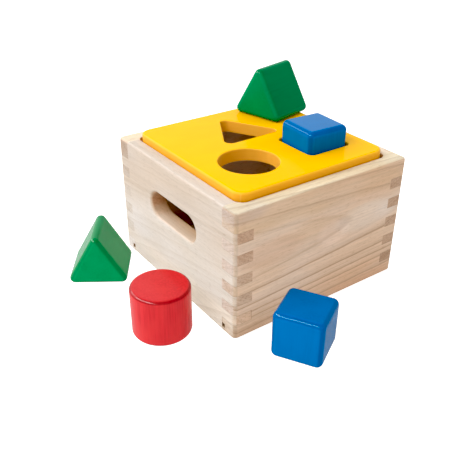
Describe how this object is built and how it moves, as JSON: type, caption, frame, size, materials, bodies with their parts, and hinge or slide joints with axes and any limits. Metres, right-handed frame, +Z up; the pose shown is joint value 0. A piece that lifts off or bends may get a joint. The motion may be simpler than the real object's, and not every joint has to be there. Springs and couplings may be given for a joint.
{
  "type": "wooden shape sorter",
  "caption": "Wooden shape sorter box with finger joints and hand slots, a lift-off lid with shaped holes, and matching cube, round and triangular blocks.",
  "frame": {"origin": "middle of the box's footprint, on the surface that the box stands on", "axes": "+Z up; the walls with a hand slot face -X and +X; the front wall, which the loose cube stands by, faces -Y"},
  "size_m": [0.2394, 0.2371, 0.1552],
  "materials": {
    "bare_wood": "pale open-grained hardwood, clear oiled",
    "panel_wood": "thin panel, clear oiled",
    "yellow_paint": "satin water-based paint on wood",
    "blue_paint": "satin water-based paint on wood",
    "green_paint": "satin water-based paint on wood",
    "red_paint": "satin water-based paint on wood"
  },
  "bodies": {
    "box": {"front_wall": "bare_wood", "back_wall": "bare_wood", "right_wall": "bare_wood", "left_wall": "bare_wood", "bottom_panel": "panel_wood"},
    "lid": {"lid": "yellow_paint"},
    "cube_in_hole": {"cube_in_hole": "blue_paint"},
    "prism_on_lid": {"prism_on_lid": "green_paint"},
    "loose_cube": {"loose_cube": "blue_paint"},
    "loose_cylinder": {"loose_cylinder": "red_paint"},
    "loose_prism": {"loose_prism": "green_paint"}
  },
  "joints": [
    {"name": "lid_lift", "type": "slide", "parent": "box", "child": "lid", "axis": [0, 0, 1], "range_m": [0, 0.12]},
    {"name": "cube_in_hole_slide", "type": "slide", "parent": "lid", "child": "cube_in_hole", "axis": [0, 0, 1], "range_m": [-0.0828, 0.06]},
    {"name": "prism_on_lid_lift", "type": "slide", "parent": "lid", "child": "prism_on_lid", "axis": [0, 0, 1], "range_m": [0, 0.06]},
    {"name": "loose_cube_lift", "type": "slide", "parent": "box", "child": "loose_cube", "axis": [0, 0, 1], "range_m": [0, 0.1]},
    {"name": "loose_cylinder_lift", "type": "slide", "parent": "box", "child": "loose_cylinder", "axis": [0, 0, 1], "range_m": [0, 0.1]},
    {"name": "loose_prism_lift", "type": "slide", "parent": "box", "child": "loose_prism", "axis": [0, 0, 1], "range_m": [0, 0.1]}
  ]
}
